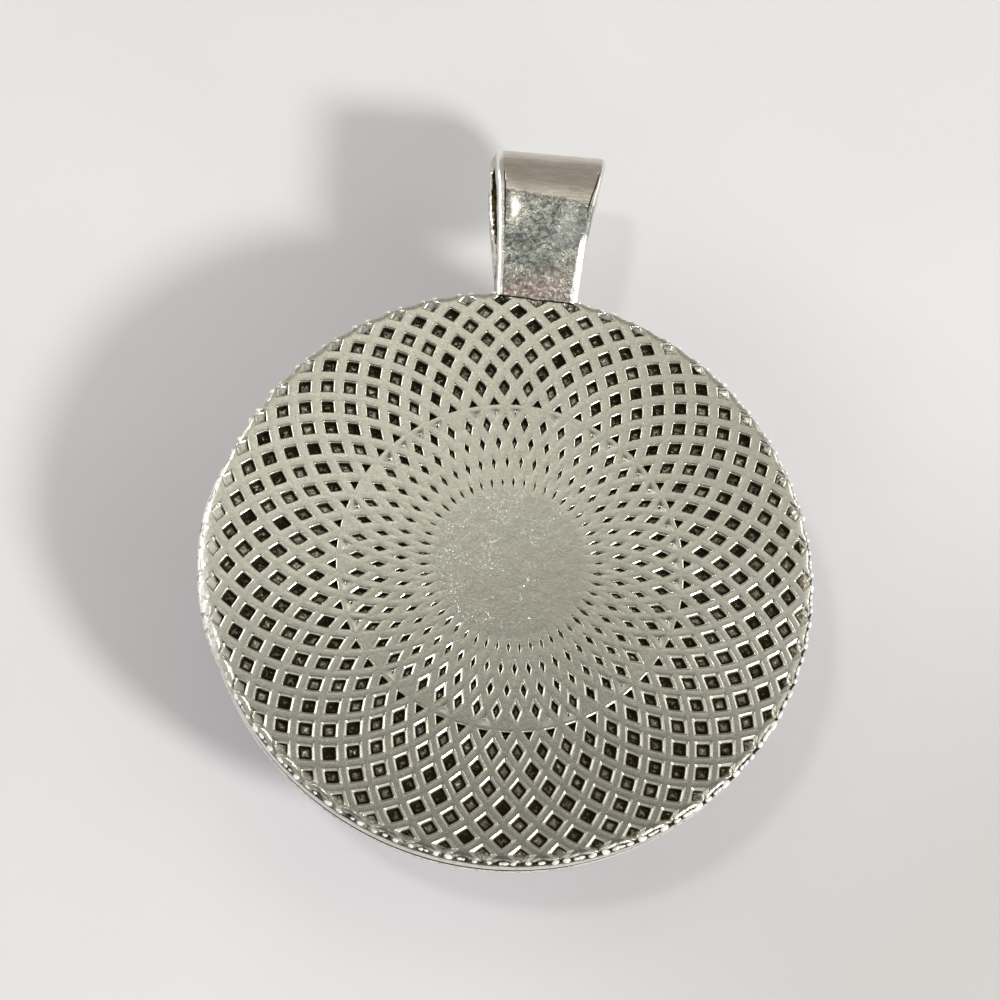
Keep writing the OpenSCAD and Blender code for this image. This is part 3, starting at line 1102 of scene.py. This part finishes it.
# the shoulders are rougher low on the back, and painted darker there and near the middle: painted shade where they
# shine less
soft = t.ramp(t.math("ADD", t.math("ADD", py, 4.3), t.math("MULTIPLY", px, -0.35)), -11.0, -3.0, 1.0, 0.0)
shoulder = t.ramp(t.attr("worn"), 0.02, 0.16)
shoulder_painted_shade = t.math("MAXIMUM", t.mixf(soft, 0.12, 0.80), t.ramp(far, 4.2, 6.4, 0.70, 0.0))
metal = t.mix(t.math("MULTIPLY", shoulder, shoulder_painted_shade), metal, (0.430, 0.415, 0.355))
# whitish, less metallic patches on the beads, the chamfer, the rim's band and the outer pits: partly frosted wear,
# partly painted highlight
frost_and_glint = t.math("MULTIPLY", t.attr("frost_and_glint"), t.ramp(t.noise(3.2, 2.0, 0.6), 0.34, 0.50, 0.55, 1.0))
metal = t.mix(frost_and_glint, metal, (0.930, 0.895, 0.850))
# small dark flecks break up the worn chamfer
band = t.math("MULTIPLY", t.ramp(t.attr("frost_and_glint"), 0.40, 0.66), t.ramp(t.attr("frost_and_glint"), 0.84, 0.95, 1.0, 0.0))
fleck = t.math("MULTIPLY", band, t.ramp(t.noise(4.6, 2.0, 0.55), 0.545, 0.60, 0.0, 0.85))
metal = t.mix(fleck, metal, (0.270, 0.245, 0.205))
mid = t.attr("mid")
own = t.math("MULTIPLY", t.math("SUBTRACT", t.attr("rand"), 0.5), 0.20)
lump = t.noise(4.5, 3.0, 0.7)
speck = t.ramp(t.math("ADD", lump, own), 0.42, 0.60)
pit = t.mix(t.math("MULTIPLY", t.ramp(mid, 0.25, 0.9), speck, clamp=True), (0.024, 0.018, 0.008), (0.300, 0.270, 0.200))
own = t.math("ADD", own, t.math("SUBTRACT", t.math("MULTIPLY", t.math("ADD", py, 4.3), 0.0045), t.math("MULTIPLY", px, 0.0035)))
pit = t.mix(t.math("MULTIPLY", t.ramp(mid, 0.45, 0.85), t.ramp(t.math("ADD", t.noise(7.5, 2.0, 0.6), own), 0.585, 0.665)), pit, (0.80, 0.76, 0.65))
t.put(t.bsdf.inputs["Base Color"], t.mix(dirt, metal, pit))
t.put(t.bsdf.inputs["Metallic"], t.math("SUBTRACT", 1.0, t.math("MULTIPLY", frost_and_glint, 0.85)))
rough = t.ramp(fine, 0.3, 0.7, 0.24, 0.33)
rough = t.mixf(shoulder, rough, t.mixf(soft, 0.25, 0.40))
rough = t.mixf(frost_and_glint, rough, 0.36)
t.put(t.bsdf.inputs["Roughness"], t.mixf(dirt, rough, 0.62))
h = t.math("ADD", t.math("MULTIPLY", sand, 0.30), t.math("ADD", t.math("MULTIPLY", cloud, 0.8), t.math("MULTIPLY", spark, 0.85)))
t.put(t.bsdf.inputs["Normal"], t.bump(h, 0.7, 0.000016))
tray.data.materials.append(t.mat)
beads.data.materials.append(t.mat)

t, grain, fine, blot, dirt = silver("antique_silver_bail", (0, 0, 0), (0, 0, 0))
x, y, z = t.xyz()
wob = t.noise(1.5, 3.0, 0.6)
inner = t.attr("zone")
smooth = t.attr("smooth")
# pitted middle of the face: pale cells between dark worm-like lines
edge_y = t.math("ADD", t.math("ADD", y, t.math("MULTIPLY", x, 0.05)), t.math("MULTIPLY", t.math("SUBTRACT", wob, 0.5), 0.9))
on_face = t.math("MULTIPLY", t.ramp(edge_y, 14.86, 15.02, 1.0, 0.0), t.math("SUBTRACT", 1.0, inner))
w1 = t.math("ABSOLUTE", t.math("SUBTRACT", t.noise(2.6, 2.0, 0.5, dist=0.7), 0.5))
w2 = t.math("ABSOLUTE", t.math("SUBTRACT", t.noise(4.6, 2.0, 0.5, dist=0.5), 0.5))
lines = t.math("MINIMUM", t.ramp(w1, 0.006, 0.055), t.ramp(w2, 0.003, 0.045, 0.2, 1.0))
broad = t.noise(0.75, 3.0, 0.55)
curd = t.noise(3.2, 3.0, 0.62)
# patches: paler up left and along the right, darker low on the left; the rise towards the top is painted sheen
patch = t.math("ADD", t.math("MULTIPLY", t.math("SUBTRACT", t.noise(0.9, 2.0, 0.5), 0.5), 1.5), t.math("MULTIPLY", t.math("SUBTRACT", y, 13.0), 0.055))
tone = t.math("ADD", t.math("MULTIPLY", t.math("SUBTRACT", broad, 0.5), 3.4), t.math("MULTIPLY", t.math("SUBTRACT", curd, 0.5), 2.3))
tone = t.math("ADD", tone, patch)
tone = t.ramp(tone, -0.85, 0.85)
metal = t.mix(tone, (0.215, 0.240, 0.225), (0.640, 0.655, 0.580))
warm = t.noise(1.3, 2.0, 0.5)
metal = t.mix(t.ramp(warm, 0.45, 0.62, 0.0, 0.55), metal, t.mix(tone, (0.235, 0.230, 0.175), (0.70, 0.68, 0.56)))
ex, ey = t.math("DIVIDE", t.math("SUBTRACT", x, 1.15), 0.75), t.math("DIVIDE", t.math("SUBTRACT", y, 13.1), 1.0)
even = t.math("ADD", t.math("SQRT", t.math("ADD", t.math("MULTIPLY", ex, ex), t.math("MULTIPLY", ey, ey))), t.math("MULTIPLY", t.math("SUBTRACT", wob, 0.5), 1.6))
even = t.ramp(even, 0.5, 1.25, 0.50, 0.0)
metal = t.mix(even, metal, (0.455, 0.500, 0.480))
lines = t.math("MAXIMUM", lines, t.math("MULTIPLY", even, 0.8))
metal = t.mix(lines, t.mix(tone, (0.075, 0.085, 0.080), (0.22, 0.23, 0.20)), metal)
glints = t.ramp(t.noise(4.6, 2.0, 0.6), 0.60, 0.66)
glow = t.ramp(t.math("SUBTRACT", t.math("MULTIPLY", y, 0.5), x), 6.2, 8.4, 0.05, 1.0)
metal = t.mix(t.math("MULTIPLY", glints, glow), metal, (0.93, 0.92, 0.84))
# pinkish, grainy lower end: the grain and specks are the metal's, the pinkish tint a painted reflection
low_y = t.math("ADD", t.math("ADD", y, t.math("MULTIPLY", x, -0.28)), t.math("MULTIPLY", t.math("SUBTRACT", wob, 0.5), 2.6))
low = t.math("MULTIPLY", t.ramp(low_y, 9.9, 11.3, 1.0, 0.0), t.math("SUBTRACT", 1.0, inner))
gr = t.noise(5.0, 3.0, 0.7)
pink = t.mix(t.ramp(gr, 0.40, 0.56), (0.330, 0.235, 0.205), (0.560, 0.470, 0.405))
pink = t.mix(t.ramp(x, -0.2, 1.6, 0.0, 0.6), pink, t.mix(t.ramp(gr, 0.40, 0.56), (0.36, 0.33, 0.27), (0.66, 0.62, 0.53)))
pink = t.mix(t.ramp(gr, 0.55, 0.63), pink, (0.90, 0.85, 0.79))
metal = t.mix(t.math("MULTIPLY", low, 0.90), metal, pink)
# brushed fold
n = t.nt.nodes.new("ShaderNodeMapping")
n.inputs["Scale"].default_value = (0.9, 7.0, 7.0)
t.link(t.mm, n.inputs["Vector"])
brush = t.noise(1.0, 4.0, 0.65, vec=n.outputs[0])
fold_metal = t.mix(t.ramp(brush, 0.30, 0.70), (0.560, 0.515, 0.440), (0.700, 0.655, 0.570))
fold_metal = t.mix(t.ramp(t.math("ADD", x, t.math("MULTIPLY", y, 0.9)), 11.6, 12.6, 0.55, 0.0), fold_metal, (0.80, 0.765, 0.67))
fold_metal = t.mix(t.ramp(t.noise(3.0, 3.0, 0.7), 0.64, 0.74, 0.0, 0.6), fold_metal, (0.30, 0.270, 0.22))
face_mask = t.math("MAXIMUM", on_face, low)
metal = t.mix(t.math("SUBTRACT", 1.0, face_mask), metal, fold_metal)
# the inside and the knobby edge of the front leg
rust = t.mix(t.ramp(t.noise(2.4, 3.0, 0.7), 0.42, 0.60), (0.62, 0.50, 0.42), (0.80, 0.76, 0.66))
metal = t.mix(t.math("MULTIPLY", inner, 0.75), metal, rust)
metal = t.mix(t.ramp(t.attr("worn"), 0.25, 0.9, 0.0, 0.92), metal, (0.885, 0.865, 0.800))
# the polished spot is paler: partly polish, partly painted highlight
metal = t.mix(t.math("MULTIPLY", smooth, 0.9), metal, (0.86, 0.85, 0.78))
deep = t.mix(inner, (0.016, 0.015, 0.010), t.mix(t.ramp(curd, 0.42, 0.62), (0.030, 0.024, 0.008), (0.130, 0.105, 0.045)))
t.put(t.bsdf.inputs["Base Color"], t.mix(dirt, metal, deep))
t.bsdf.inputs["Metallic"].default_value = 1.0
rough = t.mixf(tone, 0.42, 0.24)
rough = t.mixf(face_mask, 0.27, rough)
rough = t.mixf(t.attr("worn"), rough, 0.20)
rough = t.mixf(smooth, rough, 0.12)
t.put(t.bsdf.inputs["Roughness"], t.mixf(dirt, rough, 0.6))
relief = t.math("ADD", t.math("MULTIPLY", lines, 0.6), t.math("ADD", t.math("MULTIPLY", curd, 0.9), t.math("MULTIPLY", gr, 0.25)))
calm = t.math("MULTIPLY", t.math("SUBTRACT", 1.0, smooth), t.math("SUBTRACT", 1.0, t.math("MULTIPLY", t.attr("worn"), 0.85)))
h = t.math("MULTIPLY", relief, t.math("MULTIPLY", calm, t.mixf(face_mask, 0.12, 1.0)))
h = t.math("ADD", h, t.math("MULTIPLY", fine, 0.08))
t.put(t.bsdf.inputs["Normal"], t.bump(h, 0.8, 0.00003))
strap.data.materials.append(t.mat)

t = Tree("lilac_glass")
swirl = t.noise(0.18, 3.0, 0.5, dist=1.2)
t.put(t.bsdf.inputs["Base Color"], t.mix(t.ramp(swirl, 0.35, 0.65), (0.60, 0.46, 0.74), (0.72, 0.60, 0.84)))
t.bsdf.inputs["Roughness"].default_value = 0.04
t.bsdf.inputs["IOR"].default_value = 1.5
t.bsdf.inputs["Transmission Weight"].default_value = 0.85
t.put(t.bsdf.inputs["Normal"], t.bump(t.noise(0.9, 2.0, 0.5), 0.15, 0.00002))
dome.data.materials.append(t.mat)

for ob, slot in ((tray, "antique_silver"), (beads, "antique_silver"), (strap, "antique_silver")):
    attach(ob, "root")
    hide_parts("setting")
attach(dome, "root")
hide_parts("cabochon")

# ---------------------------------------------------------------- floor
s = 1.6
floor = new_object("floor", [(-s, -s, 0), (s, -s, 0), (s, s, 0), (-s, s, 0)], [(0, 1, 2, 3)], smooth=False)
t = Tree("paper")
tone = t.noise(0.05, 3.0, 0.5)
px, py, pz = t.xyz()
# the paper is painted darker towards the lower right: a painted shadow
painted_shadow_axis = t.math("ADD", t.math("MULTIPLY", px, 0.72), t.math("MULTIPLY", py, -0.69))
sheet = t.mix(t.ramp(tone, 0.3, 0.7), (0.765, 0.756, 0.757), (0.795, 0.787, 0.787))
t.put(t.bsdf.inputs["Base Color"], t.mix(t.ramp(painted_shadow_axis, 9.0, 30.0, 0.0, 0.9), sheet, (0.640, 0.625, 0.605)))
t.bsdf.inputs["Roughness"].default_value = 0.85
t.bsdf.inputs["Specular IOR Level"].default_value = 0.2
t.put(t.bsdf.inputs["Normal"], t.bump(t.noise(2.5, 4.0, 0.6), 0.25, 0.00004))
floor.data.materials.append(t.mat)

# ---------------------------------------------------------------- light
scene = bpy.context.scene
scene.view_settings.view_transform = "Standard"
world = bpy.data.worlds.new("studio")
scene.world = world
world.use_nodes = True
wn = world.node_tree
wn.nodes.clear()
wo = wn.nodes.new("ShaderNodeOutputWorld")
bg = wn.nodes.new("ShaderNodeBackground")
wn.links.new(bg.outputs[0], wo.inputs[0])
wtc = wn.nodes.new("ShaderNodeTexCoord")
wsep = wn.nodes.new("ShaderNodeSeparateXYZ")
wn.links.new(wtc.outputs["Generated"], wsep.inputs[0])


def wmath(op, a, b, clamp=False):
    n = wn.nodes.new("ShaderNodeMath")
    n.operation = op
    n.use_clamp = clamp
    for socket, value in zip(n.inputs, (a, b)):
        if isinstance(value, bpy.types.NodeSocket):
            wn.links.new(value, socket)
        else:
            socket.default_value = value
    return n.outputs[0]


def wramp(x, lo, hi, a, b):
    n = wn.nodes.new("ShaderNodeMapRange")
    n.interpolation_type = "SMOOTHSTEP"
    wn.links.new(x, n.inputs[0])
    for i, v in enumerate((lo, hi, a, b)):
        n.inputs[i + 1].default_value = v
    return n.outputs[0]


def wmix(f, a, b):
    n = wn.nodes.new("ShaderNodeMix")
    n.data_type = "RGBA"
    if isinstance(f, bpy.types.NodeSocket):
        wn.links.new(f, n.inputs[0])
    else:
        n.inputs[0].default_value = f
    for socket, value in ((n.inputs[6], a), (n.inputs[7], b)):
        if isinstance(value, bpy.types.NodeSocket):
            wn.links.new(value, socket)
        else:
            socket.default_value = (*value, 1.0)
    return n.outputs[2]


# A pale room with a bright strip of ceiling towards +Y, a dimmer wall below
# it, and a dark patch overhead.
wx, wy, wz = wsep.outputs[0], wsep.outputs[1], wsep.outputs[2]
sky = wmix(wramp(wz, 0.0, 0.35, 0.0, 1.0), (0.56, 0.56, 0.557), (0.62, 0.62, 0.618))
sky = wmix(wramp(wy, 0.50, 0.68, 0.0, 1.0), sky, (0.40, 0.385, 0.36))
strip_ = wmath("MULTIPLY", wramp(wy, 0.30, 0.42, 0.0, 1.0), wramp(wy, 0.48, 0.62, 1.0, 0.0))
sky = wmix(strip_, sky, (0.80, 0.785, 0.735))
hole = wmath("ADD", wmath("ADD", wmath("MULTIPLY", wx, 0.01), wmath("MULTIPLY", wy, -0.26)), wmath("MULTIPLY", wz, 0.960))
sky = wmix(wramp(hole, 0.790, 0.836, 0.0, 1.0), sky, (0.045, 0.055, 0.045))
wn.links.new(sky, bg.inputs[0])
bg.inputs[1].default_value = 1.0


def area(name, at, aim, size, power, colour=(1, 1, 1), size_y=None):
    d = bpy.data.lights.new(name, "AREA")
    d.energy = power
    d.color = colour
    if size_y:
        d.shape = "RECTANGLE"
        d.size, d.size_y = size, size_y
    else:
        d.shape = "DISK"
        d.size = size
    o = bpy.data.objects.new(name, d)
    o.location = at
    o.rotation_euler = (Vector(aim) - Vector(at)).to_track_quat("-Z", "Y").to_euler()
    scene.collection.objects.link(o)
    return o


aim = (0, -0.004, 0.006)


def lamp(name, direction, far, size, power, colour=(1, 1, 1), size_y=None):
    d = Vector(direction).normalized()
    return area(name, Vector(aim) + d * far, aim, size, power, colour, size_y)


lamp("key", (9.42, -5.93, 6.98), 0.60, 0.10, 2.6, (1.0, 0.992, 0.98))
lamp("overhead_left", (-0.35, 0.02, 0.93), 0.60, 0.075, 0.46)
lamp("ceiling_lamp", (-0.010, 0.470, 0.882), 0.80, 0.085, 0.070, (1.0, 0.97, 0.91))
lamp("left_panel", (-0.834, 0.40, 0.25), 0.52, 0.34, 0.7, (1, 1, 1), 0.16)
lamp("left_low", (-0.90, 0.15, 0.375), 0.52, 0.12, 0.09, (1, 1, 1), 0.12)
lamp("right_panel", (0.857, 0.488, 0.17), 0.52, 0.30, 0.4, (1, 1, 1), 0.12)
lamp("front_panel", (0.08, -1.0, 0.17), 0.60, 0.50, 0.5, (1, 1, 1), 0.14)

# ---------------------------------------------------------------- camera
cam_d = bpy.data.cameras.new("camera")
cam_d.sensor_width = 36.0
cam_d.lens = 2318.116 * 36.0 / 1000.0
cam_d.clip_start = 0.005
cam_d.clip_end = 10.0
cam = bpy.data.objects.new("camera", cam_d)
scene.collection.objects.link(cam)
X = Vector((0.9919965, 0.0933587, 0.0850119)).normalized()
Z = -Vector((0.0435768, 0.3787776, -0.9244612)).normalized()
Y = Z.cross(X).normalized()
X = Y.cross(Z).normalized()
place = row((-5.4782505, -37.6270558, 99.3079103))
m4 = Matrix((X, Y, Z)).transposed().to_4x4()
m4.translation = Vector(place)
cam.matrix_world = m4
scene.camera = cam
